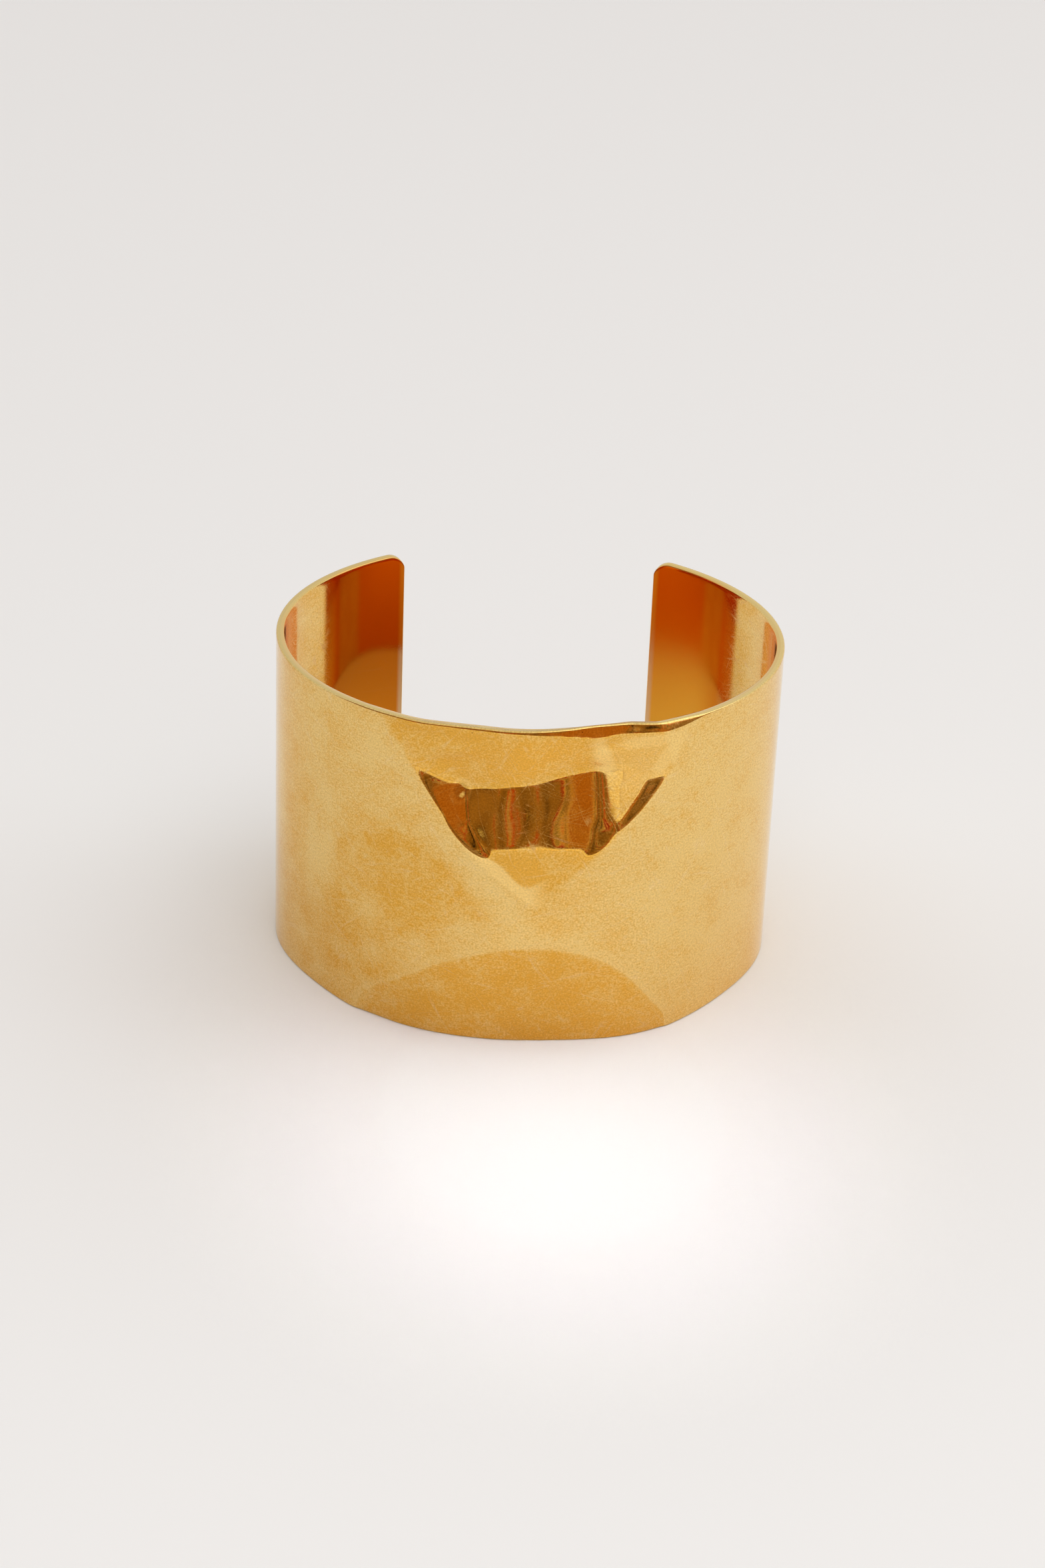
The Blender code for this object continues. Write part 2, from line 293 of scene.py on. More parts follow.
# One ring goes round the sheet's cut: up the outer face, over the rim, and down the inner face.
RingPoint = namedtuple("RingPoint", "depth level end inner")
outer_levels = np.linspace(0, 1, OUTER_ROWS)
ring = [RingPoint(0.0, level, 0.0, False) for level in outer_levels]
ring += [RingPoint(ARRIS * (1 - cos(angle)), 1.0, ARRIS * sin(angle), False) for angle in arc]
ring += [RingPoint(-ARRIS * (1 - sin(angle)), 1.0, ARRIS * cos(angle), True) for angle in arc]
ring += [RingPoint(0.0, level, 0.0, True) for level in outer_levels[::-INNER_SHARE][1:]]
ring += [RingPoint(-ARRIS * (1 - cos(angle)), 0.0, -ARRIS * sin(angle), True) for angle in arc]
ring += [RingPoint(ARRIS * (1 - sin(angle)), 0.0, -ARRIS * cos(angle), False) for angle in arc[:-1]]

to_end = half_band - np.abs(columns)
cut = np.maximum(CORNER_RADIUS - to_end, 0)
inset = CORNER_RADIUS - np.sqrt(CORNER_RADIUS**2 - cut**2)
pinch = ARRIS - np.sqrt(ARRIS**2 - np.maximum(ARRIS - to_end, 0) ** 2)
ring_lines = []
uv_lines = []
under_arch = []
in_fold = []
on_rim = []
for point in ring:
    plain_height = ARRIS + (BAND_HEIGHT - 2 * ARRIS) * point.level + point.end
    reach, thick = dents(columns, plain_height)
    if point.inner:
        reach = reach - thick + np.maximum(pinch, -point.depth)
    else:
        reach = reach - np.maximum(pinch, point.depth)
    height = ARRIS + inset + (BAND_HEIGHT - 2 * (ARRIS + inset)) * point.level + point.end
    ring_lines.append(np.stack([columns, reach, height], axis=1))
    uv_lines.append(np.stack([columns, height + point.inner * INNER_SHIFT], axis=1))
    below, fade = below_arch(columns / OVAL_WIDTH, plain_height / BAND_HEIGHT)
    arch_share = np.clip(below, -ARCH_LIMIT, ARCH_LIMIT) / 2 / ARCH_LIMIT + 0.5
    under_arch.append(arch_share * fade * (not point.inner))
    folded_in = fold(columns / OVAL_WIDTH, plain_height / BAND_HEIGHT) / FOLD_BLEND
    in_fold.append(np.clip(folded_in, 0, 1) * (not point.inner))
    on_rim.append(np.full(len(columns), abs(point.end) / ARRIS))
points = np.stack(ring_lines, axis=1).reshape(-1, 3)
sheet_uv = np.stack(uv_lines, axis=1).reshape(-1, 2)

ring_size = len(ring)
faces = []
for column in range(len(columns) - 1):
    this = column * ring_size
    following = this + ring_size
    for low in range(ring_size):
        high = (low + 1) % ring_size
        faces.append((this + low, following + low, following + high, this + high))
last = (len(columns) - 1) * ring_size
faces.append(tuple(range(ring_size)))
faces.append(tuple(range(last + ring_size - 1, last - 1, -1)))

blank_mesh = bpy.data.meshes.new("blank")
blank_mesh.from_pydata((points * MM).tolist(), [], faces)
sheet_map = blank_mesh.uv_layers.new(name="sheet")
corner_points = np.empty(len(blank_mesh.loops), dtype=np.int32)
blank_mesh.loops.foreach_get("vertex_index", corner_points)
sheet_map.data.foreach_set("uv", (sheet_uv[corner_points] / MM_A_CM).ravel())
for name, rows in (("under_arch", under_arch), ("in_fold", in_fold), ("on_rim", on_rim)):
    wear = blank_mesh.attributes.new(name, "FLOAT", "POINT")
    wear.data.foreach_set("value", np.stack(rows, axis=1).ravel().astype(np.float32))
blank_mesh.shade_smooth()
blank = bpy.data.objects.new("blank", blank_mesh)
bpy.context.scene.collection.objects.link(blank)


# Gold plating over brass, polished and then worn. The outer face has a fine haze with hair
# scratches, which is taken away in the fold and under the arch, making them smoother and a deeper
# gold painted as shade, and the inner face is still bright. Several pale marks below are painted
# highlights and sheen. Places on the sheet are in centimetres, and the inner face lies above
# INNER_FROM.
def new_group(name, takes, gives):
    """An empty shader node group with its named inputs and outputs."""
    group = bpy.data.node_groups.new(name, "ShaderNodeTree")
    for title, kind, value in takes:
        socket = group.interface.new_socket(title, in_out="INPUT", socket_type=kind)
        if value is not None:
            socket.default_value = value
    for title, kind in gives:
        group.interface.new_socket(title, in_out="OUTPUT", socket_type=kind)
    return group, group.nodes.new("NodeGroupInput"), group.nodes.new("NodeGroupOutput")


def node(tree, kind, links=None, **settings):
    """A node with its settings, and its inputs linked or set by name or number."""
    made = tree.nodes.new(kind)
    for name, value in settings.items():
        setattr(made, name, value)
    for name, value in (links or {}).items():
        if isinstance(value, bpy.types.NodeSocket):
            tree.links.new(value, made.inputs[name])
        else:
            made.inputs[name].default_value = value
    return made


def maths(tree, operation, first, second=0.0, third=0.0):
    """The result of one sum on sockets or numbers."""
    return node(tree, "ShaderNodeMath", {0: first, 1: second, 2: third}, operation=operation).outputs[0]


def plus_share(tree, base, mask, share):
    """The base with a share of a mask added."""
    return maths(tree, "MULTIPLY_ADD", mask, share, base)


def one_less(tree, value):
    """What is left of one."""
    return maths(tree, "SUBTRACT", 1.0, value)


def step_between(tree, value, start, end):
    """0 at start and before it, 1 at end and past it, smooth between."""
    ramp = node(
        tree,
        "ShaderNodeMapRange",
        {"Value": value, "From Min": start, "From Max": end},
        interpolation_type="SMOOTHSTEP",
    )
    return ramp.outputs["Result"]


def stretch(tree, value, start, end, low, high):
    """The value's range from start to end laid over the range from low to high."""
    ramp = node(
        tree,
        "ShaderNodeMapRange",
        {"Value": value, "From Min": start, "From Max": end, "To Min": low, "To Max": high},
    )
    return ramp.outputs["Result"]


def only_between(tree, value, start, risen, falling, end):
    """1 from risen to falling and 0 outside start and end, smooth between."""
    rise = step_between(tree, value, start, risen)
    fall = step_between(tree, value, end, falling)
    return maths(tree, "MULTIPLY", rise, fall)


def mix_colours(tree, share, first, second):
    """A mix of two colours by a share."""
    made = node(tree, "ShaderNodeMix", data_type="RGBA")
    for socket, value in ((made.inputs[0], share), (made.inputs[6], first), (made.inputs[7], second)):
        if isinstance(value, bpy.types.NodeSocket):
            tree.links.new(value, socket)
        else:
            socket.default_value = value
    return made.outputs[2]


INNER_FROM = INNER_SHIFT / MM_A_CM
VECTOR = "NodeSocketVector"
NUMBER = "NodeSocketFloat"

grain_group, grain_in, grain_out = new_group(
    "fine_grain", [("Place", VECTOR, None), ("Size", NUMBER, 0.05)], [("Grain", NUMBER)]
)
grain_scale = maths(grain_group, "DIVIDE", 1.0, grain_in.outputs["Size"])
grain_fine = node(
    grain_group,
    "ShaderNodeTexNoise",
    {"Vector": grain_in.outputs["Place"], "Scale": grain_scale, "Detail": 3.0, "Roughness": 0.6},
)
grain_group.links.new(grain_fine.outputs["Fac"], grain_out.inputs["Grain"])

# Each hair scratch is a thin contour line of a hilly pattern that is drawn out along its angle.
SCRATCH_DRAWN_OUT = (0.05, 1.0, 1.0)
SCRATCH_WANDERS = (0.25, 0.25, 0.0)
scratch_group, scratch_in, scratch_out = new_group(
    "hair_scratches",
    [("Place", VECTOR, None), ("Angle", NUMBER, 0.0), ("Spacing", NUMBER, 0.1), ("Width", NUMBER, 0.05)],
    [("Mask", NUMBER)],
)
scratch_turn = node(
    scratch_group,
    "ShaderNodeVectorRotate",
    {"Vector": scratch_in.outputs["Place"], "Angle": scratch_in.outputs["Angle"]},
    rotation_type="Z_AXIS",
)
scratch_wander = node(
    scratch_group,
    "ShaderNodeTexNoise",
    {"Vector": scratch_turn.outputs[0], "Scale": 1.3, "Detail": 1.0},
)
scratch_bent = node(
    scratch_group,
    "ShaderNodeVectorMath",
    {0: scratch_wander.outputs["Color"], 1: SCRATCH_WANDERS, 2: scratch_turn.outputs[0]},
    operation="MULTIPLY_ADD",
)
scratch_count = maths(scratch_group, "DIVIDE", 1.0, scratch_in.outputs["Spacing"])
scratch_long = node(
    scratch_group,
    "ShaderNodeVectorMath",
    {0: scratch_bent.outputs[0], 1: SCRATCH_DRAWN_OUT},
    operation="MULTIPLY",
)
scratch_hills = node(
    scratch_group,
    "ShaderNodeTexNoise",
    {"Vector": scratch_long.outputs[0], "Scale": scratch_count, "Detail": 0.0},
)
scratch_from_middle = maths(
    scratch_group, "ABSOLUTE", maths(scratch_group, "SUBTRACT", scratch_hills.outputs["Fac"], 0.5)
)
scratch_line = step_between(scratch_group, scratch_from_middle, scratch_in.outputs["Width"], 0.0)
scratch_gaps = node(
    scratch_group,
    "ShaderNodeTexNoise",
    {"Vector": scratch_long.outputs[0], "Scale": 9.0, "Detail": 1.0},
)
scratch_some = step_between(scratch_group, scratch_gaps.outputs["Fac"], 0.50, 0.62)
scratch_mask = maths(scratch_group, "MULTIPLY", scratch_line, scratch_some)
scratch_group.links.new(scratch_mask, scratch_out.inputs["Mask"])

# A soft patch is an oval with a ragged edge.
patch_group, patch_in, patch_out = new_group(
    "soft_patch",
    [
        ("Place", VECTOR, None),
        ("Middle", VECTOR, None),
        ("Reach", VECTOR, (1, 1, 1)),
        ("Angle", NUMBER, 0.0),
    ],
    [("Mask", NUMBER)],
)
patch_away = node(
    patch_group,
    "ShaderNodeVectorMath",
    {0: patch_in.outputs["Place"], 1: patch_in.outputs["Middle"]},
    operation="SUBTRACT",
)
patch_turn = node(
    patch_group,
    "ShaderNodeVectorRotate",
    {"Vector": patch_away.outputs[0], "Angle": patch_in.outputs["Angle"]},
    rotation_type="Z_AXIS",
)
patch_share = node(
    patch_group,
    "ShaderNodeVectorMath",
    {0: patch_turn.outputs[0], 1: patch_in.outputs["Reach"]},
    operation="DIVIDE",
)
patch_distance = node(
    patch_group, "ShaderNodeVectorMath", {0: patch_share.outputs[0]}, operation="LENGTH"
).outputs["Value"]
patch_cloud = node(
    patch_group, "ShaderNodeTexNoise", {"Vector": patch_in.outputs["Place"], "Scale": 2.2, "Detail": 3.0}
)
patch_ragged = maths(
    patch_group, "ADD", patch_distance, maths(patch_group, "SUBTRACT", patch_cloud.outputs["Fac"], 0.5)
)
patch_group.links.new(step_between(patch_group, patch_ragged, 1.05, 0.35), patch_out.inputs["Mask"])

# Some tones paint light: the inner gold is deepened for light bounced between the walls, the bright gold
# is a painted glow, the ring gold paints highlights, the dull gold paints shade, and the scuffed gold
# also paints a sheen at grazing angles.
GOLD = (0.785, 0.41, 0.060, 1)
INNER_BOUNCE_GOLD = (0.84, 0.315, 0.020, 1)
HAZY_GOLD = (0.865, 0.595, 0.212, 1)
GLOW_GOLD = (1.0, 0.56, 0.060, 1)
HIGHLIGHT_GOLD = (0.94, 0.645, 0.23, 1)
RIM_GOLD = (0.63, 0.47, 0.185, 1)
KNEE_SHADE_GOLD = (0.40, 0.25, 0.08, 1)
SCUFF_AND_SHEEN_GOLD = (0.93, 0.72, 0.40, 1)
SPECK_BROWN = (0.20, 0.09, 0.02, 1)

gold = bpy.data.materials.new("gold_plate")
gold.use_nodes = True
tree = gold.node_tree
surface = tree.nodes["Principled BSDF"]
surface.inputs["Metallic"].default_value = 1.0
place = node(tree, "ShaderNodeUVMap", uv_map="sheet").outputs["UV"]
place_parts = node(tree, "ShaderNodeSeparateXYZ", {"Vector": place})
along = place_parts.outputs["X"]
up_sheet = place_parts.outputs["Y"]
from_front = maths(tree, "ABSOLUTE", along)
inner_face = step_between(tree, up_sheet, INNER_FROM - 0.5, INNER_FROM)
outer_face = one_less(tree, inner_face)


def use_group(group, **links):
    """A shared group in the gold, with its inputs linked or set."""
    made = tree.nodes.new("ShaderNodeGroup")
    made.node_tree = group
    for name, value in links.items():
        if isinstance(value, bpy.types.NodeSocket):
            tree.links.new(value, made.inputs[name])
        else:
            made.inputs[name].default_value = value
    return made.outputs[0]


def sheet_mark(name):
    """A mask that the sheet's points hold."""
    return node(tree, "ShaderNodeAttribute", attribute_name=name).outputs["Fac"]


GRAIN_SIZE = 0.022
MOTTLE_SIZE = 0.06
CLOUD_SIZE = 0.45
grain = stretch(tree, use_group(grain_group, Place=place, Size=GRAIN_SIZE), 0.32, 0.68, 0.0, 1.0)
mottle = use_group(grain_group, Place=place, Size=MOTTLE_SIZE)
blotches = use_group(grain_group, Place=place, Size=CLOUD_SIZE)

Scratch = namedtuple("Scratch", "angle spacing width")
SCRATCHES = (
    Scratch(0.35, 0.050, 0.03),
    Scratch(1.15, 0.060, 0.03),
    Scratch(2.25, 0.055, 0.03),
    Scratch(2.85, 0.065, 0.03),
)
all_scratches = 0.0
for scratch in SCRATCHES:
    hairs = use_group(
        scratch_group,
        Place=place,
        Angle=scratch.angle,
        Spacing=scratch.spacing,
        Width=scratch.width,
    )
    all_scratches = maths(tree, "MAXIMUM", all_scratches, hairs)

# Paler and deeper patches of the outer face. Among the pale patches, the thin streaks from the
# fold's left crease down to the arch and the one over the arch are painted highlights along ridges,
# and the pale lines round the fold's right flat are painted highlights too.
Patch = namedtuple("Patch", "middle reach angle strength")
PALE_PATCHES_AND_HIGHLIGHTS = (
    Patch((2.5, 2.2, 0), (2.2, 3.0, 1), 0.0, 0.40),
    Patch((-2.2, 3.7, 0), (1.5, 0.9, 1), 0.2, 0.30),
    Patch((-0.5, 2.3, 0), (1.20, 0.26, 1), 0.85, 0.45),
    Patch((-2.76, 2.2, 0), (0.35, 1.5, 1), 0.1, 0.40),
    Patch((-1.5, 1.1, 0), (0.9, 0.25, 1), -0.5, 0.25),
    Patch((0.1, 1.6, 0), (1.5, 0.2, 1), 0.0, 0.20),
)
DEEP_PATCHES = (
    Patch((-1.45, 2.05, 0), (1.10, 1.00, 1), -0.35, 0.32),
    Patch((-2.3, 1.0, 0), (1.5, 0.8, 1), 0.0, 0.22),
)
HIGHLIGHT_LINES = (
    Patch((0.90, 3.84, 0), (0.45, 0.17, 1), 1.20, 1.0),
    Patch((1.48, 4.06, 0), (0.55, 0.13, 1), -0.1, 0.8),
    Patch((1.66, 3.84, 0), (0.50, 0.14, 1), -1.01, 0.9),
    Patch((1.30, 3.75, 0), (0.60, 0.55, 1), 0.0, 0.35),
)


def patches(table):
    """The strongest of a table's patches at each place."""
    strongest = 0.0
    for patch in table:
        mask = use_group(
            patch_group, Place=place, Middle=patch.middle, Reach=patch.reach, Angle=patch.angle
        )
        strongest = maths(tree, "MAXIMUM", strongest, maths(tree, "MULTIPLY", mask, patch.strength))
    return strongest


# The lens under the arch and the hollow of the fold lose their haze: they are smoother, and are
# painted a deeper, darker gold as shade, for the shaded floor and dark room that they mirror. A
# painted highlight stands over the arch as haze, and the fold's left crease is painted pale below
# the bowl, a highlight along its edge.
near_arch = sheet_mark("under_arch")
lens = step_between(tree, near_arch, 0.47, 0.58)
lens = maths(tree, "MULTIPLY", lens, step_between(tree, along, -2.5, -1.1))
arch_crest_highlight = only_between(tree, near_arch, 0.08, 0.46, 0.47, 0.51)
folded = sheet_mark("in_fold")
in_crease = step_between(tree, folded, 0.10, 0.55)
left_of_tip = step_between(tree, along, 0.30, 0.0)
below_bowl = step_between(tree, up_sheet, 2.95, 2.65)
crease_highlight = only_between(tree, folded, 0.05, 0.30, 0.85, 1.0)
crease_highlight = maths(tree, "MULTIPLY", crease_highlight, maths(tree, "MULTIPLY", left_of_tip, below_bowl))

# Inside, the two ends are clean and painted a deeper orange, a painted glow of the light bounced
# between the gold walls, and the side walls are hazy like the outer face.
side_wall = only_between(tree, from_front, 4.5, 4.9, 5.7, 6.0)
clean_painted_bounce = maths(tree, "MULTIPLY", inner_face, one_less(tree, side_wall))
# The foot of the right end is painted a brighter orange: a painted reflection of the lit floor inside
# the cuff.
right_end = step_between(tree, along, 5.9, 6.4)
low_end = step_between(tree, up_sheet, INNER_FROM + 4.0, INNER_FROM + 2.6)
right_foot_glow = maths(tree, "MULTIPLY", inner_face, maths(tree, "MULTIPLY", right_end, low_end))

PLAIN_HAZE = 0.55
CLOUD_HAZE = 0.35
LENS_SHADE_AND_POLISH = 0.46
FOLD_SHADE_AND_POLISH = 0.50
RIDGE_HIGHLIGHT_HAZE = 0.28
MOTTLE_HAZE = 1.3
GRAIN_HAZE = 0.55
# Besides the real haze, this mask carries painted light: the lens and fold terms paint shade, and the
# ridge term and the thin pale patches paint highlights.
haze_with_painted_light = stretch(tree, blotches, 0.3, 0.7, PLAIN_HAZE - CLOUD_HAZE, PLAIN_HAZE + CLOUD_HAZE)
haze_with_painted_light = maths(tree, "ADD", haze_with_painted_light, patches(PALE_PATCHES_AND_HIGHLIGHTS))
haze_with_painted_light = maths(tree, "SUBTRACT", haze_with_painted_light, patches(DEEP_PATCHES))
haze_with_painted_light = plus_share(tree, haze_with_painted_light, lens, -LENS_SHADE_AND_POLISH)
haze_with_painted_light = plus_share(tree, haze_with_painted_light, in_crease, -FOLD_SHADE_AND_POLISH)
haze_with_painted_light = plus_share(tree, haze_with_painted_light, arch_crest_highlight, RIDGE_HIGHLIGHT_HAZE)
haze_with_painted_light = plus_share(tree, haze_with_painted_light, maths(tree, "SUBTRACT", mottle, 0.5), MOTTLE_HAZE)
haze_with_painted_light = plus_share(tree, haze_with_painted_light, maths(tree, "SUBTRACT", grain, 0.5), GRAIN_HAZE)
haze_with_painted_light = node(tree, "ShaderNodeClamp", {"Value": haze_with_painted_light}).outputs["Result"]
haze_with_painted_light = maths(tree, "MULTIPLY", haze_with_painted_light, one_less(tree, clean_painted_bounce))

CLEAN_SCRATCHES = 0.1
scratch_share = stretch(tree, clean_painted_bounce, 0.0, 1.0, 1.0, CLEAN_SCRATCHES)
scratches = maths(tree, "MULTIPLY", all_scratches, scratch_share)

# The knee in the left of the fold has a pale ring, a painted highlight round its dent, and a dull
# middle, painted shade.
KNEE_MIDDLE = (KNEE_PLACE * OVAL_WIDTH / MM_A_CM, KNEE_HEIGHT * BAND_HEIGHT / MM_A_CM, 0.0)
KNEE_SHARES = (9.5, 7.5, 0.0)
KNEE_RING = 1.25
KNEE_RING_WIDTH = 0.35
KNEE_RAGGED = 0.5
knee_away = node(tree, "ShaderNodeVectorMath", {0: place, 1: KNEE_MIDDLE}, operation="SUBTRACT")
knee_share = node(
    tree, "ShaderNodeVectorMath", {0: knee_away.outputs[0], 1: KNEE_SHARES}, operation="MULTIPLY"
)
knee_distance = node(
    tree, "ShaderNodeVectorMath", {0: knee_share.outputs[0]}, operation="LENGTH"
).outputs["Value"]
knee_ragged = plus_share(tree, knee_distance, mottle, KNEE_RAGGED)
off_ring = maths(tree, "ABSOLUTE", maths(tree, "SUBTRACT", knee_ragged, KNEE_RING))
knee_ring_highlight = step_between(tree, off_ring, KNEE_RING_WIDTH, 0.0)
knee_core_shade = step_between(tree, knee_ragged, 1.15, 0.75)

# The last millimetre before each cut end is paler. The outer face is also painted paler where it is seen
# edge-on: a painted sheen.
END_AT = half_band / MM_A_CM
pale_end_band = step_between(tree, from_front, END_AT - 0.10, END_AT - 0.04)
edge_on = node(tree, "ShaderNodeLayerWeight", {"Blend": 0.3}).outputs["Facing"]
painted_edge_sheen = maths(tree, "MULTIPLY", step_between(tree, edge_on, 0.55, 1.0), outer_face)

Layer = namedtuple("Layer", "mask share tone")
LAYERS = (
    Layer(clean_painted_bounce, 1.0, INNER_BOUNCE_GOLD),
    Layer(right_foot_glow, 1.0, GLOW_GOLD),
    Layer(haze_with_painted_light, 1.0, HAZY_GOLD),
    Layer(scratches, 0.22, SCUFF_AND_SHEEN_GOLD),
    Layer(crease_highlight, 0.9, HIGHLIGHT_GOLD),
    Layer(patches(HIGHLIGHT_LINES), 0.8, HIGHLIGHT_GOLD),
    Layer(knee_ring_highlight, 0.45, HIGHLIGHT_GOLD),
    Layer(knee_core_shade, 0.4, KNEE_SHADE_GOLD),
    Layer(pale_end_band, 0.9, SCUFF_AND_SHEEN_GOLD),
    Layer(painted_edge_sheen, 0.5, SCUFF_AND_SHEEN_GOLD),
    Layer(sheet_mark("on_rim"), 0.9, RIM_GOLD),
)
colour = GOLD
for layer in LAYERS:
    colour = mix_colours(tree, maths(tree, "MULTIPLY", layer.mask, layer.share), colour, layer.tone)

# The grain lightens and darkens the plating, and the left of the outer face is painted a little
# darker and its right a little lighter: painted shade and light from the window on the right.
GRAIN_TONE = 0.14
LEFT_SHADE = 0.935
RIGHT_LIGHT = 1.045
grain_tone = stretch(tree, grain, 0.0, 1.0, 1 - GRAIN_TONE, 1 + GRAIN_TONE)
painted_side_light = stretch(tree, maths(tree, "MULTIPLY", along, outer_face), -2.9, 2.0, LEFT_SHADE, RIGHT_LIGHT)
grain_and_side_light = maths(tree, "MULTIPLY", grain_tone, painted_side_light)
grain_and_side_lit = node(tree, "ShaderNodeHueSaturation", {"Color": colour, "Value": grain_and_side_light})
colour = mix_colours(tree, one_less(tree, clean_painted_bounce), colour, grain_and_side_lit.outputs["Color"])

SPECKS_A_CM = 2.2
SPECK_SHARE = 0.8
specks = node(tree, "ShaderNodeTexVoronoi", {"Vector": place, "Scale": SPECKS_A_CM})
speck = step_between(tree, specks.outputs["Distance"], 0.022, 0.012)
speck = maths(tree, "MULTIPLY", maths(tree, "MULTIPLY", speck, outer_face), SPECK_SHARE)
colour = mix_colours(tree, speck, colour, SPECK_BROWN)
tree.links.new(colour, surface.inputs["Base Color"])

POLISHED = 0.035
HAZE_ROUGHNESS = 0.10
SCRATCH_ROUGHNESS = 0.16
CLEAN_ROUGHNESS = 0.02
FOOT_ROUGHNESS = 0.18
roughness = maths(tree, "MULTIPLY_ADD", haze_with_painted_light, HAZE_ROUGHNESS, POLISHED)
roughness = plus_share(tree, roughness, scratches, SCRATCH_ROUGHNESS)
roughness = plus_share(tree, roughness, clean_painted_bounce, CLEAN_ROUGHNESS)
roughness = plus_share(tree, roughness, right_foot_glow, FOOT_ROUGHNESS)
tree.links.new(roughness, surface.inputs["Roughness"])

# The grain and the scratches are cut in, and the hollow of the fold is a little uneven.
GRAIN_CUT = 0.004
SCRATCH_CUT = -0.5
RIPPLES_A_CM = 2.6
RIPPLE_HEIGHT = 0.09
cut_in = node(
    tree,
    "ShaderNodeBump",
    {
        "Height": plus_share(tree, grain, scratches, SCRATCH_CUT),
        "Strength": 0.12,
        "Distance": GRAIN_CUT * MM,
    },
)
ripples = node(tree, "ShaderNodeTexNoise", {"Vector": place, "Scale": RIPPLES_A_CM, "Detail": 0.0})
uneven = node(
    tree,
    "ShaderNodeBump",
    {
        "Height": ripples.outputs["Fac"],
        "Strength": in_crease,
        "Distance": RIPPLE_HEIGHT * MM,
        "Normal": cut_in.outputs["Normal"],
    },
)
tree.links.new(uneven.outputs["Normal"], surface.inputs["Normal"])


# The bend lays the blank round the oval, as the real strip is bent round a form. The tree samples
# the oval's line at each point's place along the band, and stands the point off it by its reach.
bend = bpy.data.node_groups.new("bend_round_oval", "GeometryNodeTree")
bend.interface.new_socket("Blank", in_out="INPUT", socket_type="NodeSocketGeometry")
bend_sizes = {}
for title, value in (("Oval Width", OVAL_WIDTH * MM), ("Oval Depth", OVAL_DEPTH * MM)):
    socket = bend.interface.new_socket(title, in_out="INPUT", socket_type="NodeSocketFloat")
    bend_sizes[socket.identifier] = value
finish_socket = bend.interface.new_socket("Finish", in_out="INPUT", socket_type="NodeSocketMaterial")
bend.interface.new_socket("Cuff", in_out="OUTPUT", socket_type="NodeSocketGeometry")
bend_in = bend.nodes.new("NodeGroupInput")
bend_out = bend.nodes.new("NodeGroupOutput")

circle = node(bend, "GeometryNodeCurvePrimitiveCircle", {"Resolution": OVAL_STEPS, "Radius": 0.5})
oval_scale = node(
    bend,
    "ShaderNodeCombineXYZ",
    {"X": bend_in.outputs["Oval Depth"], "Y": bend_in.outputs["Oval Width"], "Z": 1.0},
)
oval = node(
    bend,
    "GeometryNodeTransform",
    {
        "Geometry": circle.outputs["Curve"],
        "Rotation": (0.0, 0.0, pi / 2),
        "Scale": oval_scale.outputs["Vector"],
    },
)
oval_length = node(bend, "GeometryNodeCurveLength", {"Curve": oval.outputs["Geometry"]})
flat_place = node(bend, "GeometryNodeInputPosition")
flat_parts = node(bend, "ShaderNodeSeparateXYZ", {"Vector": flat_place.outputs["Position"]})
from_back = node(
    bend,
    "ShaderNodeMath",
    {0: oval_length.outputs["Length"], 1: 0.5, 2: flat_parts.outputs["X"]},
    operation="MULTIPLY_ADD",
)
on_oval = node(
    bend,
    "GeometryNodeSampleCurve",
    {"Curves": oval.outputs["Geometry"], "Length": from_back.outputs["Value"]},
    mode="LENGTH",
)
outwards = node(
    bend,
    "ShaderNodeVectorMath",
    {0: on_oval.outputs["Tangent"], 1: (0.0, 0.0, 1.0)},
    operation="CROSS_PRODUCT",
)
square_out = node(bend, "ShaderNodeVectorMath", {0: outwards.outputs[0]}, operation="NORMALIZE")
stood_off = node(
    bend,
    "ShaderNodeVectorMath",
    {0: square_out.outputs[0], 1: flat_parts.outputs["Y"], 2: on_oval.outputs["Position"]},
    operation="MULTIPLY_ADD",
)
risen = node(bend, "ShaderNodeCombineXYZ", {"Z": flat_parts.outputs["Z"]})
bent_place = node(
    bend, "ShaderNodeVectorMath", {0: stood_off.outputs[0], 1: risen.outputs[0]}, operation="ADD"
)
bent = node(
    bend,
    "GeometryNodeSetPosition",
    {"Geometry": bend_in.outputs["Blank"], "Position": bent_place.outputs[0]},
)
realized = node(bend, "GeometryNodeRealizeInstances", {"Geometry": bent.outputs["Geometry"]})
finished = node(
    bend,
    "GeometryNodeSetMaterial",
    {"Geometry": realized.outputs["Geometry"], "Material": bend_in.outputs["Finish"]},
)
bend.links.new(finished.outputs["Geometry"], bend_out.inputs["Cuff"])

bending = blank.modifiers.new("bend", "NODES")
bending.node_group = bend
for identifier, value in bend_sizes.items():
    bending[identifier] = value
bending[finish_socket.identifier] = gold

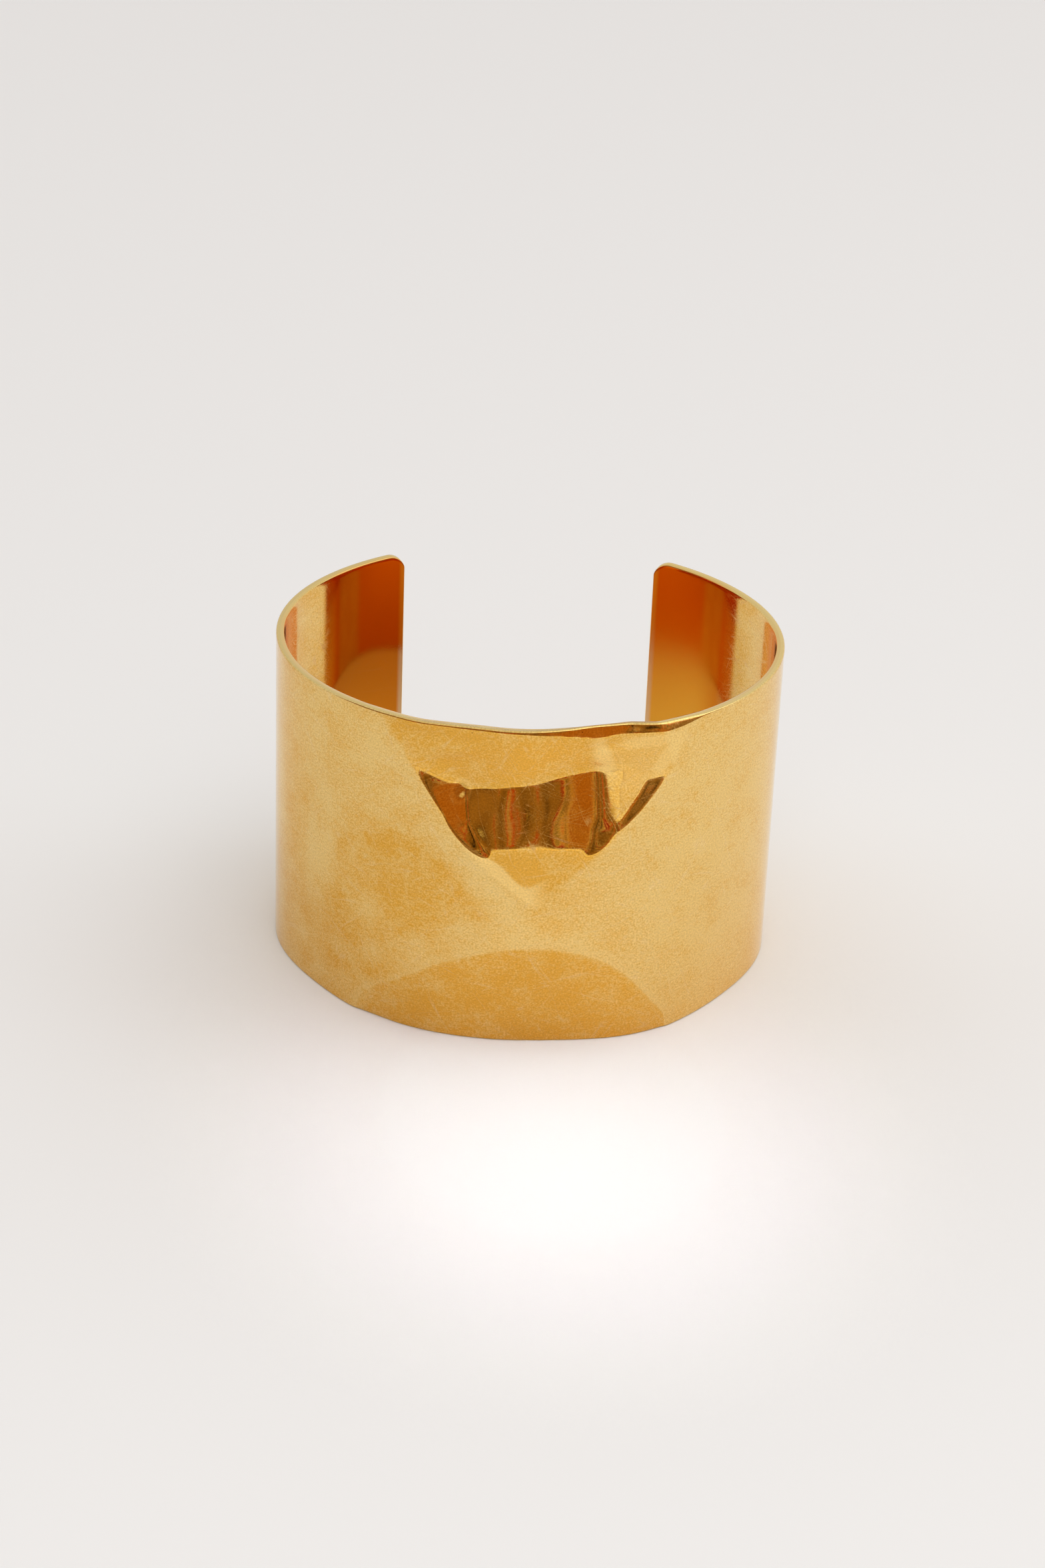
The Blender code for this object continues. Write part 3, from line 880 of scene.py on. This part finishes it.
# The bent sheet becomes a plain mesh, and its box is fitted to the solid part's box. That also
# centres it on the origin, and takes off the few microns by which the finer mesh is rounder.
bent_blank = blank.evaluated_get(bpy.context.evaluated_depsgraph_get())
cuff_mesh = bpy.data.meshes.new_from_object(bent_blank)
bpy.data.objects.remove(blank)
cuff_low, cuff_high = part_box("cuff")
corners = np.empty(len(cuff_mesh.vertices) * 3)
cuff_mesh.vertices.foreach_get("co", corners)
bent_low = Vector(corners.reshape(-1, 3).min(axis=0))
bent_high = Vector(corners.reshape(-1, 3).max(axis=0))
shares = [(cuff_high[axis] - cuff_low[axis]) / (bent_high[axis] - bent_low[axis]) for axis in range(3)]
oval_centre_y = cuff_high.y - bent_high.y
bent_middle = (bent_low + bent_high) / 2
cuff_mesh.transform(
    Matrix.Translation((cuff_low + cuff_high) / 2)
    @ Matrix.Diagonal((*shares, 1))
    @ Matrix.Translation(-bent_middle)
)
cuff_mesh.shade_smooth()
cuff = bpy.data.objects.new("cuff_bracelet", cuff_mesh)
bpy.context.scene.collection.objects.link(cuff)
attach(cuff, "root")
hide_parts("cuff")


# The floor is a plain sheet of warm white paper. It is only there for the picture.
FLOOR_SIZE = 4.0
PAPER_WHITE = (0.84, 0.843, 0.834, 1)
floor_half = FLOOR_SIZE / 2
floor_mesh = bpy.data.meshes.new("floor")
floor_mesh.from_pydata(
    [
        (-floor_half, -floor_half, 0),
        (floor_half, -floor_half, 0),
        (floor_half, floor_half, 0),
        (-floor_half, floor_half, 0),
    ],
    [],
    [(0, 1, 2, 3)],
)
floor = bpy.data.objects.new("floor", floor_mesh)
bpy.context.scene.collection.objects.link(floor)
paper = bpy.data.materials.new("paper")
paper.use_nodes = True
paper_surface = paper.node_tree.nodes["Principled BSDF"]
paper_surface.inputs["Base Color"].default_value = PAPER_WHITE
paper_surface.inputs["Roughness"].default_value = 0.9
paper_surface.inputs["Specular IOR Level"].default_value = 0.2
floor_mesh.materials.append(paper)


# The studio round the cuff is pale, with a bright horizon. Behind the camera is a dark warm room,
# which the folds mirror: soft blotches, two windows of bent stripes, and a warm lamp on the right.
world = bpy.data.worlds.new("studio")
world.use_nodes = True
bpy.context.scene.world = world
sky = world.node_tree
background = sky.nodes["Background"]
looking = node(sky, "ShaderNodeTexCoord").outputs["Generated"]
looking_parts = node(sky, "ShaderNodeSeparateXYZ", {"Vector": looking})
upwards = looking_parts.outputs["Z"]
behind = maths(sky, "MULTIPLY", looking_parts.outputs["Y"], -1.0)
level_length = maths(sky, "SQRT", one_less(sky, maths(sky, "MULTIPLY", upwards, upwards)))
level_length = maths(sky, "MAXIMUM", level_length, 0.01)
across = maths(sky, "DIVIDE", looking_parts.outputs["X"], level_length)


def within_degrees(value, *edges):
    """1 between the two middle angles and 0 outside the outer two, for the sine of an angle."""
    return only_between(sky, value, *(sin(radians(edge)) for edge in edges))


def tone_ramp(value, tones):
    """A ramp through a table's tones."""
    ramp = node(sky, "ShaderNodeValToRGB", {"Fac": value})
    marks = ramp.color_ramp.elements
    marks.remove(marks[1])
    marks[0].position = tones[0].at
    marks[0].color = tones[0].colour
    for tone in tones[1:]:
        marks.new(tone.at).color = tone.colour
    return ramp.outputs["Color"]


RoomTone = namedtuple("RoomTone", "at colour")
ROOM_TONES = (
    RoomTone(0.34, (0.05, 0.032, 0.013, 1)),
    RoomTone(0.45, (0.27, 0.160, 0.058, 1)),
    RoomTone(0.54, (0.36, 0.220, 0.085, 1)),
    RoomTone(0.585, (0.50, 0.085, 0.025, 1)),
    RoomTone(0.62, (0.55, 0.400, 0.180, 1)),
    RoomTone(0.70, (0.10, 0.065, 0.030, 1)),
)
STRIPE_TONES = (
    RoomTone(0.30, (0.06, 0.040, 0.020, 1)),
    RoomTone(0.42, (0.75, 0.560, 0.260, 1)),
    RoomTone(0.47, (0.08, 0.050, 0.025, 1)),
    RoomTone(0.52, (0.50, 0.050, 0.030, 1)),
    RoomTone(0.57, (0.80, 0.660, 0.380, 1)),
    RoomTone(0.63, (0.10, 0.070, 0.035, 1)),
)
room_cloud = node(sky, "ShaderNodeTexNoise", {"Vector": looking, "Scale": 4.5, "Detail": 2.5})
room_tone = tone_ramp(room_cloud.outputs["Fac"], ROOM_TONES)

STRIPE_BEND = 0.45
stripe_bends = node(sky, "ShaderNodeTexNoise", {"Vector": looking, "Scale": 6.0, "Detail": 1.0})
bent_by = maths(sky, "SUBTRACT", stripe_bends.outputs["Fac"], 0.5)
stripe_noise = node(
    sky,
    "ShaderNodeTexNoise",
    {"W": plus_share(sky, across, bent_by, STRIPE_BEND), "Scale": 11.0, "Detail": 1.0},
    noise_dimensions="1D",
)
stripe_tone = tone_ramp(stripe_noise.outputs["Fac"], STRIPE_TONES)
high_rows = within_degrees(upwards, 10.5, 12, 24, 30)
high_sides = within_degrees(across, -66, -58, 2, 10)
low_rows = within_degrees(upwards, 4, 5, 9, 10)
low_sides = within_degrees(across, 13, 16, 29, 32)
stripe_places = maths(
    sky,
    "MAXIMUM",
    maths(sky, "MULTIPLY", high_rows, high_sides),
    maths(sky, "MULTIPLY", low_rows, low_sides),
)
striped_room = mix_colours(sky, stripe_places, room_tone, stripe_tone)

LAMP_WAY = Vector((0.54, -0.82, 0.21))
LAMP_ORANGE = (0.46, 0.20, 0.045, 1)
lamp_near = node(sky, "ShaderNodeVectorMath", {0: looking, 1: LAMP_WAY}, operation="DOT_PRODUCT")
lamp_share = step_between(sky, lamp_near.outputs["Value"], cos(radians(17)), cos(radians(5)))
lit_room = mix_colours(sky, lamp_share, striped_room, LAMP_ORANGE)

CEILING_WHITE = (0.93, 0.94, 0.96, 1)
HORIZON_WHITE = (1.00, 0.99, 0.95, 1)
STUDIO_LEFT = 0.93
STUDIO_RIGHT = 1.04
horizon = step_between(sky, upwards, sin(radians(8)), sin(radians(2)))
even_walls = mix_colours(sky, horizon, CEILING_WHITE, HORIZON_WHITE)
side_share = stretch(sky, looking_parts.outputs["X"], -0.9, 0.9, STUDIO_LEFT, STUDIO_RIGHT)
pale_walls = node(sky, "ShaderNodeVectorMath", {0: even_walls, 1: side_share}, operation="MULTIPLY")
room_sides = step_between(
    sky, maths(sky, "DIVIDE", behind, level_length), cos(radians(85)), cos(radians(70))
)
room = maths(sky, "MULTIPLY", room_sides, within_degrees(upwards, 2.5, 4.5, 44, 58))
sky.links.new(mix_colours(sky, room, pale_walls.outputs[0], lit_room), background.inputs["Color"])
background.inputs["Strength"].default_value = 1.04


# Four soft lights: the window high on the right, and three that only light the floor before the
# cuff. The smallest is a faint pool of the light that the cuff throws back.
def soft_light(name, at, size, power, colour=(1, 1, 1), spread=pi, mirrored=True, towards=(0, 0, 0.02)):
    """A square soft light at a place, facing another. It shows in the metal only if mirrored."""
    lamp = bpy.data.lights.new(name, "AREA")
    lamp.size = size
    lamp.energy = power
    lamp.color = colour
    lamp.spread = spread
    lit = bpy.data.objects.new(name, lamp)
    bpy.context.scene.collection.objects.link(lit)
    lit.location = at
    lit.rotation_euler = (Vector(towards) - Vector(at)).to_track_quat("-Z", "Y").to_euler()
    lit.visible_glossy = mirrored


soft_light("window", (0.48, -0.08, 0.80), 0.70, 1.2, (1.0, 0.985, 0.96))
soft_light("front_soft", (0.10, -0.45, 0.60), 0.50, 0.8, mirrored=False)
soft_light(
    "front_glow",
    at=(0.0, -0.90, 1.2),
    size=0.4,
    power=0.62,
    spread=radians(70),
    mirrored=False,
    towards=(0, -0.90, 0),
)
soft_light(
    "front_pool",
    at=(0.04, -0.24, 0.34),
    size=0.03,
    power=0.0032,
    colour=(0.96, 0.97, 1.0),
    spread=radians(12),
    mirrored=False,
    towards=(0.004, -0.040, 0),
)


# The camera looks down on the cuff from the front, as the photo's does. Its place was found from
# the outline of the rims and the two ends.
PHOTO_HEIGHT = 2353
FOCAL_PIXELS = 5867
SENSOR_HEIGHT = 36
LOOKING_DOWN = radians(31)
LOOKING_ACROSS = radians(1.5)
CAMERA_ROLL = radians(2.32)
DISTANCE = 487.5 * MM
AIM = Vector((-0.27, 0, 21.32)) * MM
camera_data = bpy.data.cameras.new("camera")
camera_data.sensor_fit = "VERTICAL"
camera_data.sensor_height = SENSOR_HEIGHT
camera_data.lens = FOCAL_PIXELS / PHOTO_HEIGHT * SENSOR_HEIGHT
camera_data.clip_start = 0.01
forward = Vector(
    (
        sin(LOOKING_ACROSS) * cos(LOOKING_DOWN),
        cos(LOOKING_ACROSS) * cos(LOOKING_DOWN),
        -sin(LOOKING_DOWN),
    )
)
right = Vector((cos(LOOKING_ACROSS), -sin(LOOKING_ACROSS), 0))
up = right.cross(forward)
target = Matrix.Rotation(-LOOKING_ACROSS, 3, "Z") @ AIM + Vector((0, oval_centre_y, 0))
facing = Matrix((right, up, -forward)).transposed().to_4x4() @ Matrix.Rotation(CAMERA_ROLL, 4, "Z")
camera = bpy.data.objects.new("camera", camera_data)
camera.matrix_world = Matrix.Translation(target - forward * DISTANCE) @ facing
bpy.context.scene.collection.objects.link(camera)
bpy.context.scene.camera = camera
bpy.context.scene.view_settings.view_transform = "Standard"
